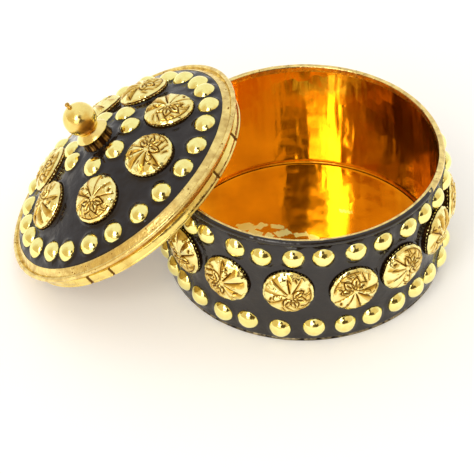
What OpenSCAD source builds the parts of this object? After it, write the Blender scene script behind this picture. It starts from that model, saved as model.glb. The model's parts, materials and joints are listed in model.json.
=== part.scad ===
// Spice box (masala dabba) in brass and black lac.
// A round brass box, open at the top, with a band of black lac round its wall. Two rows of
// domed studs and one row of pressed medallions are bedded in the lac. The domed lid is off and
// leans on the box: its low edge is on the table and its skirt crosses the box's rim. The lid
// carries the same ornament and a turned finial.
// Frame: origin at the centre of the box's underside, +Z up, the lid on the -X side.

/* [Box] */
// Width of the rim, from the mouth to the outside of its bead
rim_width = 3.35; // [3.2:0.05:3.7]
// Thickness of the rolled brass wall
wall_thickness = 0.8; // [0.6:0.1:1]
// Thickness of the brass disc that closes the bottom
floor_thickness = 1.5; // [1:0.1:3]
// Height of the foot ring round the bottom
foot_height = 2.3; // [2:0.1:3.5]
// Height of the rim ring soldered on top of the wall
rim_height = 3.5; // [3:0.1:5]
// How far the lac band stands inside the rim's outside
lac_inset = 0.4; // [0.2:0.1:0.7]
// Plain lac between the foot ring and the lower row of studs
lower_margin = 3.1; // [1:0.1:8]
// Plain lac between the lower row of studs and the medallions
lower_gap = 7.1; // [1:0.1:10]
// Plain lac between the medallions and the upper row of studs
upper_gap = 2.2; // [0.5:0.1:8]
// Plain lac between the upper row of studs and the rim ring
upper_margin = 1.3; // [0.3:0.1:4]

/* [Lid] */
// How far the lid's bead stands outside the rim's bead
lid_overhang = 0.4; // [0.1:0.1:3]
// Width of the lid's brass edge, from the lac to the outside of the bead
lid_edge_width = 6.2; // [5.5:0.1:7]
// Radius of the lid's bead section
lid_bead_radius = 1.35; // [1.2:0.05:1.5]
// Height of the lip where it meets the lac, above the middle of the bead
lip_height = 3.2; // [2.6:0.1:4]
// Slope of the lac's cone, from the lip up to the rounded crown, in degrees
crown_slope = 21; // [18:0.5:23]
// Radius of the rounded crown that the cone runs into
crown_round = 84; // [70:1:100]
// Thickness of the lac on the lid
lid_lac_thickness = 2.2; // [2:0.1:3]
// Thickness of the lid's brass sheet
lid_sheet = 0.8; // [0.6:0.1:1]
// Depth of the lid below the middle of the bead, to the bottom of the skirt
skirt_depth = 10.5; // [8:0.1:14]
// Thickness of the skirt's band
skirt_thickness = 0.8; // [0.6:0.1:1]
// Gap all round between the skirt and the mouth
skirt_clearance = 0.45; // [0.4:0.05:0.6]

/* [Studs] */
// Diameter of a domed stud
stud_diameter = 11.4; // [10:0.1:11.8]
// Rise of a stud's dome above its edge
stud_dome = 2.8; // [2.2:0.1:3.4]
// Height of a stud's straight edge, most of it sunk in the lac
stud_edge = 2.2; // [1.6:0.1:2.6]
// Studs in each of the box's two rows
box_stud_count = 30; // [24:1:32]
// Turn of the upper row round the box, in degrees
upper_row_turn = 6; // [0:0.5:12]
// Turn of the lower row round the box, in degrees
lower_row_turn = 0.5; // [0:0.5:12]
// Studs in the lid's outer ring
lid_outer_count = 25; // [20:1:26]
// Plain lac between the outer ring of studs and the lid's brass edge
lid_outer_margin = 1.9; // [0.8:0.1:4]
// Turn of the outer ring, in degrees
lid_outer_turn = 5.5; // [0:0.1:14]
// Studs in the ring round the finial
lid_inner_count = 8; // [6:1:9]
// Plain lac between the finial's cup and the ring of studs round it
lid_inner_margin = 5.8; // [5:0.1:10]
// Turn of the ring round the finial, in degrees
lid_inner_turn = 7; // [0:1:45]

/* [Medallions] */
// Diameter of a pressed medallion
medallion_diameter = 27.2; // [24:0.1:27.6]
// Rise of a medallion's domed face above its milled edge
medallion_dome = 3.4; // [2.4:0.1:4.2]
// Height of a medallion's milled edge, partly sunk in the lac
medallion_edge = 3.9; // [3:0.1:4.4]
// Turn of the box's medallions, in degrees
medallion_turn = 3.5; // [0:0.5:24]
// Plain lac between the lid's medallions and the studs round the finial
lid_inner_gap = 1.8; // [0.8:0.1:4]
// Plain lac between the lid's medallions and the outer ring of studs
lid_outer_gap = 0.7; // [0.4:0.1:4]
// Places of the seven hand-set medallions round the lid, in degrees from the side by the box
lid_medallion_turns = [9, 60, 102, 163, 210, 271, 324]; // [0:1:360]

/* [Finial] */
// Diameter of the finial's cup
cup_diameter = 18; // [16:0.1:19]
// Height of the cup above the crown of the lac
cup_height = 5.8; // [4:0.1:9]
// Diameter of the collar's sharp edge
collar_diameter = 19.4; // [19.2:0.1:21]
// Height of the collar's bevel
collar_height = 3.1; // [2.6:0.1:4]
// Diameter of the ball
ball_diameter = 18.2; // [17:0.1:20]
// Diameter of the pip on the ball
pip_diameter = 2.8; // [2.4:0.1:4]
// Height of the pip above the ball
pip_height = 3; // [2:0.1:4]
// Diameter of the stem that holds the finial down
stem_diameter = 4.4; // [4:0.1:5]
// Gap between the ball and the seats above and below it
ball_clearance = 0.05; // [0.05:0.05:0.1]
// How far the finial is set off the middle of the lid by hand
finial_offset = 2.5; // [0:0.1:3]
// Direction of that offset, in degrees from the side by the box
finial_turn = 38; // [0:1:360]

/* [Resting place of the lid] */
// Tilt of the lid where it leans on the box, in degrees
lid_tilt = 36.2; // [35.4:0.1:38]
// Gap left between the leaning skirt and the rim
lean_gap = 0.3; // [0.3:0.05:0.5]

/* [Hidden] */
// Part to build, or all of them
$fn = 96;
// Facets of the widest rounds
wide_fn = 240;
// Depth past a face that a cutter is drawn, so that it cuts cleanly
past = 1;

// How far the ornament is sunk in the lac
stud_sunk = 1;
medallion_sunk = 1.5;
// Height of the cutter for a bed, past the lac's surface
bed_cut = 4;

// Rings of ornament on the lid, from the finial's cup out to the brass edge
inner_ring_r = cup_diameter / 2 + lid_inner_margin + stud_diameter / 2;
medallion_ring_r = inner_ring_r + stud_diameter / 2 + lid_inner_gap + medallion_diameter / 2;
outer_ring_r = medallion_ring_r + medallion_diameter / 2 + lid_outer_gap + stud_diameter / 2;
lid_lac_r = outer_ring_r + stud_diameter / 2 + lid_outer_margin;
lid_r = lid_lac_r + lid_edge_width;

// Rows of ornament on the box, from the foot ring up to the rim
lower_row_height = foot_height + lower_margin + stud_diameter / 2;
medallion_height = lower_row_height + stud_diameter / 2 + lower_gap + medallion_diameter / 2;
upper_row_height = medallion_height + medallion_diameter / 2 + upper_gap + stud_diameter / 2;
box_height = upper_row_height + stud_diameter / 2 + upper_margin + rim_height;

// Radii of the box, which the lid covers
rim_r = lid_r - lid_overhang;
mouth_r = rim_r - rim_width;
wall_r = mouth_r + wall_thickness;
rim_bead_r = (rim_height - 0.1) / 2;
rim_bead_at = rim_r - rim_bead_r;
rim_bead_z = box_height - rim_height / 2;
lac_r = rim_r - lac_inset;
foot_bead_r = foot_height / 2 - 0.05;
foot_bead_at = lac_r - 0.4 - foot_bead_r;

// Beds of the ornament in the box's lac, as distances from the box's axis
stud_bed = lac_r - stud_sunk;
medallion_bed = lac_r - medallion_sunk;
box_medallion_count = 15;

// Cone and rounded crown of the lid, in the lid's own frame: middle of the bead at z = 0
cap_r = crown_round * sin(crown_slope);
cap_low = lip_height + (lid_lac_r - cap_r) * tan(crown_slope);
round_z = cap_low - crown_round * cos(crown_slope);
crown_height = round_z + crown_round;
hollow_round = crown_round - lid_lac_thickness - lid_sheet;
lid_bead_at = lid_r - lid_bead_radius;
groove_at = lid_bead_at - lid_bead_radius;
skirt_r = mouth_r - skirt_clearance;
skirt_bead_r = 0.8;
skirt_bead_at = skirt_r - skirt_bead_r;
skirt_bead_z = skirt_bead_r - skirt_depth;

// Heights of the finial in the lid's frame
ball_r = ball_diameter / 2;
cup_top = crown_height + cup_height;
collar_edge = 0.6;
collar_top = cup_top + collar_edge + collar_height;
collar_top_r = 6.2;
seat_r = ball_r + ball_clearance;
ball_z = collar_top + sqrt(seat_r * seat_r - 5.5 * 5.5);
stem_top = ball_z - seat_r - 0.2;
washer_r = 6;
washer_thickness = 1;
washer_top = round_z + sqrt(hollow_round * hollow_round - washer_r * washer_r);
head_height = 1.2;

// Where the lid leans. The skirt's bottom bead is on the table, and its centre line passes the
// rim bead's centre line at the sum of their radii plus the gap.
lean_z = skirt_bead_r + skirt_bead_at * sin(lid_tilt) - skirt_bead_z * cos(lid_tilt);
lean_miss = skirt_bead_r + rim_bead_r + lean_gap;
function skirt_point(x, a) = [
    x - skirt_bead_z * sin(lid_tilt) + skirt_bead_at * cos(a) * cos(lid_tilt),
    skirt_bead_at * sin(a),
    lean_z + skirt_bead_z * cos(lid_tilt) + skirt_bead_at * cos(a) * sin(lid_tilt)
];
function rim_distance(p) = norm([norm([p.x, p.y]) - rim_bead_at, p.z - rim_bead_z]);
function nearest(x) = min([for (a = [0:0.25:120]) rim_distance(skirt_point(x, a))]);
function lean_between(far, near, turns) = turns == 0 ? far
    : let (middle = (far + near) / 2)
      nearest(middle) > lean_miss
        ? lean_between(middle, near, turns - 1)
        : lean_between(far, middle, turns - 1);
function lean_from(x) = nearest(x) > lean_miss ? lean_from(x + 1) : lean_between(x - 1, x, 16);
lean_x = lean_from(-rim_r - lid_r * 0.7);

brass = [0.86, 0.68, 0.30];
pale_brass = [0.93, 0.78, 0.42];
amber_brass = [0.80, 0.47, 0.10];
black_lac = [0.10, 0.10, 0.11];

// A ring of rectangular section
module band(r_in, r_out, z_low, z_high) {
    difference() {
        translate([0, 0, z_low])
            cylinder(r = r_out, h = z_high - z_low, $fn = wide_fn);
        translate([0, 0, z_low - past])
            cylinder(r = r_in, h = z_high - z_low + 2 * past, $fn = wide_fn);
    }
}

// A ring of round section
module bead(at, z, r) {
    translate([0, 0, z])
        rotate_extrude($fn = wide_fn)
            translate([at, 0])
                circle(r = r, $fn = 64);
}

// A domed disc on a straight edge, base at z = 0
module domed_disc(r, edge, dome) {
    ball = (r * r + dome * dome) / (2 * dome);
    intersection() {
        cylinder(r = r, h = edge + dome + past);
        translate([0, 0, edge + dome - ball])
            sphere(r = ball);
    }
}

// Children stood on the box's wall: z is outward from the axis, at turn a and height z
module on_wall(a, height, out) {
    rotate([0, 0, a])
        translate([out, 0, height])
            rotate([0, 90, 0])
                children();
}

function crown_z(r) = r < cap_r
    ? round_z + sqrt(crown_round * crown_round - r * r)
    : cap_low - (r - cap_r) * tan(crown_slope);
function crown_tilt(r) = r < cap_r ? asin(r / crown_round) : crown_slope;

// Children stood on the lid's lac, at turn a and ring radius r, sunk below its surface
module on_crown(a, r, sunk) {
    rotate([0, 0, a])
        translate([r, 0, crown_z(r)])
            rotate([0, crown_tilt(r), 0])
                translate([0, 0, -sunk])
                    children();
}

// Cone and rounded top, a depth below the crown's surface
module crown_cutter(depth) {
    ball = crown_round - depth;
    low = round_z + ball * cos(crown_slope);
    rise = low + lid_bead_radius + past;
    union() {
        translate([0, 0, low - rise])
            cylinder(
                r1 = ball * sin(crown_slope) + rise / tan(crown_slope),
                r2 = ball * sin(crown_slope), h = rise, $fn = wide_fn);
        intersection() {
            translate([0, 0, round_z])
                sphere(r = ball, $fn = wide_fn);
            translate([0, 0, low])
                cylinder(r = crown_round, h = crown_round);
        }
    }
}

// Everything under that surface, inside the lid's brass edge
module under_crown(depth) {
    intersection() {
        crown_cutter(depth);
        translate([0, 0, -lid_bead_radius])
            cylinder(r = lid_lac_r, h = 2 * crown_height, $fn = wide_fn);
    }
}

// Children of the finial, turned off the middle of the lid about the crown's centre
module set_off() {
    translate([0, 0, round_z])
        rotate([0, 0, finial_turn])
            rotate([0, asin(finial_offset / crown_round), 0])
                translate([0, 0, -round_z])
                    children();
}

// Children of the lid's own frame, leaned on the box
module leaned() {
    translate([lean_x, 0, lean_z])
        rotate([0, -lid_tilt, 0])
            children();
}

function stud_turn(i, count, turn) = turn + i * 360 / count;
function medallion_place(i) = medallion_turn + (i - 1) * 360 / box_medallion_count;

module stud() {
    domed_disc(stud_diameter / 2, stud_edge, stud_dome);
}

module medallion() {
    domed_disc(medallion_diameter / 2, medallion_edge, medallion_dome);
}

// Flat disc that closes the bottom and rests on the table
module box_base() {
    color(amber_brass)
        cylinder(r = wall_r, h = floor_thickness);
}

// Wall of rolled sheet, standing on the disc
module box_wall() {
    color(amber_brass)
        band(mouth_r, wall_r, floor_thickness, box_height - rim_height);
}

// Foot ring round the bottom, under the lac
module box_foot() {
    color(brass)
        union() {
            band(wall_r, foot_bead_at, 0, foot_height);
            difference() {
                bead(foot_bead_at, foot_height / 2, foot_bead_r);
                translate([0, 0, -past])
                    cylinder(r = foot_bead_at - 0.3, h = foot_height + 2 * past, $fn = wide_fn);
            }
        }
}

// Rim: a flat lip with a round bead outside it
module box_rim() {
    color(pale_brass)
        union() {
            band(mouth_r, rim_bead_at, box_height - rim_height, box_height);
            difference() {
                bead(rim_bead_at, rim_bead_z, rim_bead_r);
                translate([0, 0, rim_bead_z - rim_height])
                    cylinder(r = rim_bead_at - 0.3, h = 2 * rim_height, $fn = wide_fn);
            }
        }
}

// Band of lac with a flat bed for each stud and medallion
module box_lac() {
    color(black_lac)
        difference() {
            band(wall_r, lac_r, foot_height, box_height - rim_height);
            for (i = [0:box_stud_count - 1]) {
                on_wall(stud_turn(i, box_stud_count, upper_row_turn), upper_row_height, stud_bed)
                    cylinder(d = stud_diameter, h = bed_cut);
                on_wall(stud_turn(i, box_stud_count, lower_row_turn), lower_row_height, stud_bed)
                    cylinder(d = stud_diameter, h = bed_cut);
            }
            for (i = [1:box_medallion_count])
                on_wall(medallion_place(i), medallion_height, medallion_bed)
                    cylinder(d = medallion_diameter, h = bed_cut);
        }
}

module box_studs_upper() {
    color(pale_brass)
        for (i = [0:box_stud_count - 1])
            on_wall(stud_turn(i, box_stud_count, upper_row_turn), upper_row_height, stud_bed)
                stud();
}

module box_studs_lower() {
    color(pale_brass)
        for (i = [0:box_stud_count - 1])
            on_wall(stud_turn(i, box_stud_count, lower_row_turn), lower_row_height, stud_bed)
                stud();
}

module box_medallion(i) {
    color(pale_brass)
        on_wall(medallion_place(i), medallion_height, medallion_bed)
            medallion();
}

// Domed sheet of the lid, with the hole for the finial's stem
module lid_dome() {
    color(brass)
        leaned()
            difference() {
                under_crown(lid_lac_thickness);
                crown_cutter(lid_lac_thickness + lid_sheet);
                set_off()
                    cylinder(d = stem_diameter, h = 2 * crown_height);
            }
}

// Edge of the lid: sloped lip, groove and round bead
module lid_edge() {
    color(pale_brass)
        leaned()
            union() {
                difference() {
                    translate([0, 0, -lid_bead_radius])
                        cylinder(r1 = groove_at + 1.2, r2 = groove_at + 1.2, h = lid_bead_radius + 0.3);
                    translate([0, 0, -lid_bead_radius - past])
                        cylinder(r = lid_lac_r, h = lid_bead_radius * 2 + 4);
                }
                difference() {
                    translate([0, 0, -0.5])
                        cylinder(r1 = groove_at - 0.1, r2 = lid_lac_r - 0.6, h = lip_height + 1.1);
                    translate([0, 0, -past])
                        cylinder(r = lid_lac_r, h = lip_height + 4);
                    translate([0, 0, lip_height])
                        cylinder(r = lid_r, h = 3);
                }
                difference() {
                    bead(lid_bead_at, 0.02, lid_bead_radius);
                    translate([0, 0, -5])
                        cylinder(r = lid_bead_at - 0.9 * lid_bead_radius, h = 10);
                }
            }
}

// Skirt: a plain band under the edge with a necked top and a rolled bottom
module lid_skirt() {
    color(brass)
        leaned()
            union() {
                band(skirt_r - 0.1 - skirt_thickness, skirt_r - 0.5, -2.8, -lid_bead_radius);
                band(skirt_r - 0.1 - skirt_thickness, skirt_r - 0.1, skirt_bead_z, -2.6);
                bead(skirt_bead_at, skirt_bead_z, skirt_bead_r);
            }
}

// Lac of the lid, poured on the sheet, with a flat bed for each stud and medallion
module lid_lac() {
    color(black_lac)
        leaned()
            difference() {
                under_crown(0);
                crown_cutter(lid_lac_thickness);
                set_off()
                    cylinder(d = stem_diameter, h = 2 * crown_height);
                for (i = [0:lid_outer_count - 1])
                    on_crown(stud_turn(i, lid_outer_count, lid_outer_turn), outer_ring_r, stud_sunk)
                        cylinder(d = stud_diameter, h = bed_cut);
                set_off()
                    for (i = [0:lid_inner_count - 1])
                        on_crown(stud_turn(i, lid_inner_count, lid_inner_turn), inner_ring_r, stud_sunk)
                            cylinder(d = stud_diameter, h = bed_cut);
                for (a = lid_medallion_turns)
                    on_crown(a, medallion_ring_r, medallion_sunk)
                        cylinder(d = medallion_diameter, h = bed_cut);
            }
}

module lid_studs_outer() {
    color(pale_brass)
        leaned()
            for (i = [0:lid_outer_count - 1])
                on_crown(stud_turn(i, lid_outer_count, lid_outer_turn), outer_ring_r, stud_sunk)
                    stud();
}

module lid_studs_inner() {
    color(pale_brass)
        leaned() set_off()
            for (i = [0:lid_inner_count - 1])
                on_crown(stud_turn(i, lid_inner_count, lid_inner_turn), inner_ring_r, stud_sunk)
                    stud();
}

module lid_medallion(i) {
    color(pale_brass)
        leaned()
            on_crown(lid_medallion_turns[i - 1], medallion_ring_r, medallion_sunk)
                medallion();
}

// Cup of the finial, its foot shaped to the lac's crown
module finial_cup() {
    color(brass)
        leaned() set_off()
            difference() {
                translate([0, 0, crown_height - 2])
                    cylinder(d = cup_diameter, h = cup_height + 2);
                translate([0, 0, round_z])
                    sphere(r = crown_round, $fn = wide_fn);
                cylinder(d = stem_diameter, h = cup_top + past);
            }
}

// Collar with a sharp edge, a bevel and a round seat for the ball
module finial_collar() {
    color(pale_brass)
        leaned() set_off()
            difference() {
                union() {
                    translate([0, 0, cup_top])
                        cylinder(d = collar_diameter, h = collar_edge);
                    translate([0, 0, cup_top + collar_edge])
                        cylinder(d1 = collar_diameter, r2 = collar_top_r, h = collar_height);
                }
                cylinder(d = stem_diameter, h = collar_top);
                translate([0, 0, ball_z])
                    sphere(r = seat_r);
            }
}

// Ball of the finial
module finial_ball() {
    color(pale_brass)
        leaned() set_off()
            translate([0, 0, ball_z])
                sphere(r = ball_r);
}

// Pip on top of the ball
module finial_pip() {
    color(brass)
        leaned() set_off()
            difference() {
                translate([0, 0, ball_z + ball_r - 1])
                    cylinder(d = pip_diameter, h = pip_height + 1);
                translate([0, 0, ball_z])
                    sphere(r = seat_r);
            }
}

// Stem through the collar, cup, lac and sheet, peened over the washer
module finial_stem() {
    color(brass)
        leaned() set_off()
            union() {
                translate([0, 0, washer_top - washer_thickness - head_height / 2])
                    cylinder(
                        d = stem_diameter,
                        h = stem_top - washer_top + washer_thickness + head_height / 2);
                translate([0, 0, washer_top - washer_thickness - head_height])
                    cylinder(d = stem_diameter + 2.6, h = head_height);
            }
}

// Flat washer under the sheet, touching it along the washer's edge
module finial_washer() {
    color(brass)
        leaned() set_off()
            band(stem_diameter / 2, washer_r, washer_top - washer_thickness, washer_top);
}

box_base();
box_wall();
box_foot();
box_rim();
box_lac();
box_studs_upper();
box_studs_lower();
box_medallion(1);  // box_medallion_01
box_medallion(2);  // box_medallion_02
box_medallion(3);  // box_medallion_03
box_medallion(4);  // box_medallion_04
box_medallion(5);  // box_medallion_05
box_medallion(6);  // box_medallion_06
box_medallion(7);  // box_medallion_07
box_medallion(8);  // box_medallion_08
box_medallion(9);  // box_medallion_09
box_medallion(10);  // box_medallion_10
box_medallion(11);  // box_medallion_11
box_medallion(12);  // box_medallion_12
box_medallion(13);  // box_medallion_13
box_medallion(14);  // box_medallion_14
box_medallion(15);  // box_medallion_15
lid_dome();
lid_edge();
lid_skirt();
lid_lac();
lid_studs_outer();
lid_studs_inner();
lid_medallion(1);  // lid_medallion_1
lid_medallion(2);  // lid_medallion_2
lid_medallion(3);  // lid_medallion_3
lid_medallion(4);  // lid_medallion_4
lid_medallion(5);  // lid_medallion_5
lid_medallion(6);  // lid_medallion_6
lid_medallion(7);  // lid_medallion_7
finial_cup();
finial_collar();
finial_ball();
finial_pip();
finial_stem();
finial_washer();
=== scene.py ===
import json
from math import asin, atan2, cos, degrees, hypot, pi, radians, sin, sqrt, tan

import bpy
import numpy as np
from mathutils import Matrix, Vector


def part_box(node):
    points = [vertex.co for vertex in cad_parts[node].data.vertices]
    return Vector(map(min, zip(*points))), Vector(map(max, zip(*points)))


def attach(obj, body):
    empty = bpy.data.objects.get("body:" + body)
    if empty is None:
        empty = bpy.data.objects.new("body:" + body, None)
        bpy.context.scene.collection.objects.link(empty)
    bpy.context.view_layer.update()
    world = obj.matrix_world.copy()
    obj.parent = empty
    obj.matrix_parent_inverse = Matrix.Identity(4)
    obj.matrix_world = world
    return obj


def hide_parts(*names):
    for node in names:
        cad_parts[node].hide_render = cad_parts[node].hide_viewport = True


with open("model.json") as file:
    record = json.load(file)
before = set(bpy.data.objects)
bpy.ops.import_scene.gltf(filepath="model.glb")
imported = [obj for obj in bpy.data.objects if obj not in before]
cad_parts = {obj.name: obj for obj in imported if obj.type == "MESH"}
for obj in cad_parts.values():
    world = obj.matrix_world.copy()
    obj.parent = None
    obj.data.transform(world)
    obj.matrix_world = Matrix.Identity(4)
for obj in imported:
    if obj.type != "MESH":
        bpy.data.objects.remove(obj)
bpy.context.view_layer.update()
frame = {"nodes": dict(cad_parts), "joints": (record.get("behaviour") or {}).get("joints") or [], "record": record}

# ---------------------------------------------------------------------------
# Floor of the box: a disc of brass sheet let into the wall's foot and lacquered amber inside.
# It is dished a little from the hammer and stops short of the wall, so that a dark seam runs
# all round it.
MM = 0.001
floor_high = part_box("box_base")[1]
wall_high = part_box("box_wall")[1]
rim_low, rim_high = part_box("box_rim")
WALL_R = wall_high.x / MM
MOUTH_R = WALL_R - 0.8
FLOOR_TOP = floor_high.z / MM
RIM_R = rim_high.x / MM
BOX_TOP = rim_high.z / MM
RIM_UNDER = rim_low.z / MM


def deselect():
    if bpy.context.object and bpy.context.object.mode != "OBJECT":
        bpy.ops.object.mode_set(mode="OBJECT")
    bpy.ops.object.select_all(action="DESELECT")


def choose(piece):
    """Only this piece is selected and active."""
    deselect()
    piece.select_set(True)
    bpy.context.view_layer.objects.active = piece
    return piece


def turned(name, outline, steps, closed=True):
    """A piece turned on the lathe from its outline of (radius, height) points in mm."""
    deselect()
    bpy.ops.mesh.primitive_plane_add(size=MM)
    piece = bpy.context.object
    piece.name = piece.data.name = name
    bpy.ops.object.mode_set(mode="EDIT")
    bpy.ops.mesh.select_all(action="SELECT")
    bpy.ops.mesh.merge(type="CENTER")
    here = (0.0, 0.0)
    path = list(outline) + ([outline[0]] if closed else [])
    for i, (r, z) in enumerate(path):
        step = ((r - here[0]) * MM, 0, (z - here[1]) * MM)
        if i == 0:
            bpy.ops.transform.translate(value=step)
        else:
            bpy.ops.mesh.extrude_vertices_move(TRANSFORM_OT_translate={"value": step})
        here = (r, z)
    bpy.ops.mesh.select_all(action="SELECT")
    bpy.ops.mesh.remove_doubles(threshold=1e-6)
    bpy.ops.mesh.spin(steps=steps, angle=2 * pi, center=(0, 0, 0), axis=(0, 0, 1))
    bpy.ops.mesh.select_all(action="SELECT")
    bpy.ops.mesh.remove_doubles(threshold=1e-6)
    bpy.ops.mesh.normals_make_consistent(inside=False)
    bpy.ops.object.mode_set(mode="OBJECT")
    return piece


def smooth(piece, angle=40):
    """Shades a piece smooth, with its edges above an angle in degrees kept crisp."""
    choose(piece)
    bpy.ops.object.shade_smooth_by_angle(angle=radians(angle))
    return piece


def arc(r_mid, z_mid, radius, start, end, count):
    """Points of a round in an outline, from one angle to another, in degrees."""
    angles = [radians(start + (end - start) * i / count) for i in range(count + 1)]
    return [(r_mid + radius * cos(a), z_mid + radius * sin(a)) for a in angles]


def push(piece, amounts, depth, direction="NORMAL", middle=0.0):
    """Moves each point of a piece by its own share of a depth in mm."""
    choose(piece)
    group = piece.vertex_groups.new(name="pushed")
    amounts = np.clip(np.asarray(amounts, float), 0, 1)
    for i, amount in enumerate(amounts):
        if amount > 0:
            group.add([i], float(amount), "REPLACE")
    mover = piece.modifiers.new("pushed", "DISPLACE")
    mover.vertex_group = group.name
    mover.direction = direction
    mover.mid_level = middle
    mover.strength = depth * MM
    bpy.ops.object.modifier_apply(modifier=mover.name)
    piece.vertex_groups.remove(piece.vertex_groups["pushed"])
    return piece


def dent(piece, size, depth, seed):
    """The unevenness of hand work: a soft cloud of the given size and depth in mm."""
    choose(piece)
    cloud = bpy.data.textures.new(piece.name + "_dents", "CLOUDS")
    cloud.noise_scale = size * MM
    cloud.noise_depth = 1
    bpy.ops.object.empty_add(location=(seed * 0.37, seed * 0.11, seed * 0.23))
    place = bpy.context.object
    choose(piece)
    mover = piece.modifiers.new("dents", "DISPLACE")
    mover.texture = cloud
    mover.texture_coords = "OBJECT"
    mover.texture_coords_object = place
    mover.mid_level = 0.5
    mover.strength = depth * MM
    bpy.ops.object.modifier_apply(modifier=mover.name)
    bpy.data.objects.remove(place)
    return piece


def points_of(piece):
    """The places of a piece's points, in mm."""
    flat = np.zeros(len(piece.data.vertices) * 3)
    piece.data.vertices.foreach_get("co", flat)
    return flat.reshape(-1, 3) / MM


def add_node(tree, kind, **settings):
    """A node with its settings; in_3=value sets or links its fourth input."""
    made = tree.nodes.new(kind)
    for key, value in settings.items():
        if key.startswith("in_"):
            socket = made.inputs[int(key[3:])]
            join(tree, socket, value)
        else:
            setattr(made, key, value)
    return made


def join(tree, socket, value):
    """Links an input to another node's output, or sets it to a plain value."""
    if isinstance(value, bpy.types.NodeSocket):
        tree.links.new(value, socket)
    else:
        socket.default_value = value


def new_group(name, inputs, outputs):
    """An empty shader group with its sockets, and its two end nodes."""
    tree = bpy.data.node_groups.new(name, "ShaderNodeTree")
    for label, kind, value in inputs:
        socket = tree.interface.new_socket(label, in_out="INPUT", socket_type=kind)
        socket.default_value = value
    for label, kind in outputs:
        tree.interface.new_socket(label, in_out="OUTPUT", socket_type=kind)
    return tree, tree.nodes.new("NodeGroupInput"), tree.nodes.new("NodeGroupOutput")


COLOR, FLOAT = "NodeSocketColor", "NodeSocketFloat"

# Hand finish of a metal or lac surface: broad clouds of stain, fine rubbing marks, and pits
hand_finish, given, made = new_group(
    "hand_finish",
    [("Color", COLOR, (1, 1, 1, 1)), ("Stain", COLOR, (0, 0, 0, 1)), ("Stain Amount", FLOAT, 0.3),
     ("Stain Size", FLOAT, 60.0), ("Roughness", FLOAT, 0.2), ("Rubbing", FLOAT, 0.1),
     ("Pits", FLOAT, 0.0), ("Dents", FLOAT, 0.3), ("Dent Size", FLOAT, 90.0), ("Stretch", FLOAT, 1.0),
     ("Planish", FLOAT, 0.0), ("Planish Size", FLOAT, 80.0)],
    [("Color", COLOR), ("Roughness", FLOAT), ("Height", FLOAT)])
t = hand_finish
object_place = add_node(t, "ShaderNodeTexCoord").outputs["Object"]
stretch = add_node(t, "ShaderNodeCombineXYZ", in_0=1.0, in_1=1.0, in_2=given.outputs["Stretch"]).outputs[0]
place = add_node(t, "ShaderNodeVectorMath", operation="MULTIPLY", in_0=object_place, in_1=stretch).outputs[0]
stain = add_node(t, "ShaderNodeTexNoise", in_0=place, in_2=given.outputs["Stain Size"], in_3=4.0)
stain_mask = add_node(t, "ShaderNodeMapRange", in_0=stain.outputs["Fac"], in_1=0.38, in_2=0.72,
                      in_3=0.0, in_4=1.0).outputs[0]
stain_mask = add_node(t, "ShaderNodeMath", operation="MULTIPLY", in_0=stain_mask,
                      in_1=given.outputs["Stain Amount"]).outputs[0]
pit = add_node(t, "ShaderNodeTexVoronoi", in_0=place, in_2=620.0)
pit_size = add_node(t, "ShaderNodeTexNoise", in_0=place, in_2=170.0, in_3=2.0)
pit_edge = add_node(t, "ShaderNodeMapRange", in_0=pit_size.outputs["Fac"], in_1=0.5, in_2=0.75,
                    in_3=0.0, in_4=0.42).outputs[0]
pit_mask = add_node(t, "ShaderNodeMath", operation="LESS_THAN", in_0=pit.outputs["Distance"],
                    in_1=pit_edge).outputs[0]
pit_mask = add_node(t, "ShaderNodeMath", operation="MULTIPLY", in_0=pit_mask,
                    in_1=given.outputs["Pits"]).outputs[0]
darkest = add_node(t, "ShaderNodeMath", operation="MAXIMUM", in_0=stain_mask, in_1=pit_mask).outputs[0]
tinted = add_node(t, "ShaderNodeMix", data_type="RGBA", in_0=darkest, in_6=given.outputs["Color"],
                  in_7=given.outputs["Stain"])
rub = add_node(t, "ShaderNodeTexNoise", in_0=place, in_2=900.0, in_3=3.0)
rub_part = add_node(t, "ShaderNodeMath", operation="MULTIPLY_ADD", in_0=rub.outputs["Fac"],
                    in_1=given.outputs["Rubbing"], in_2=given.outputs["Roughness"]).outputs[0]
rough = add_node(t, "ShaderNodeMath", operation="MULTIPLY_ADD", in_0=darkest, in_1=0.25, in_2=rub_part)
bumps = add_node(t, "ShaderNodeTexNoise", in_0=place, in_2=given.outputs["Dent Size"], in_3=2.0)
height = add_node(t, "ShaderNodeMath", operation="MULTIPLY", in_0=bumps.outputs["Fac"],
                  in_1=given.outputs["Dents"]).outputs[0]
height = add_node(t, "ShaderNodeMath", operation="MULTIPLY_ADD", in_0=pit_mask, in_1=-0.15, in_2=height)
blow = add_node(t, "ShaderNodeTexVoronoi", in_0=object_place,
                in_2=given.outputs["Planish Size"]).outputs["Distance"]
hollow = add_node(t, "ShaderNodeMath", operation="MULTIPLY", in_0=blow, in_1=blow)
height = add_node(t, "ShaderNodeMath", operation="MULTIPLY_ADD", in_0=hollow.outputs[0],
                  in_1=given.outputs["Planish"], in_2=height.outputs[0])
join(t, made.inputs["Color"], tinted.outputs[2])
join(t, made.inputs["Roughness"], rough.outputs[0])
join(t, made.inputs["Height"], height.outputs[0])


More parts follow.
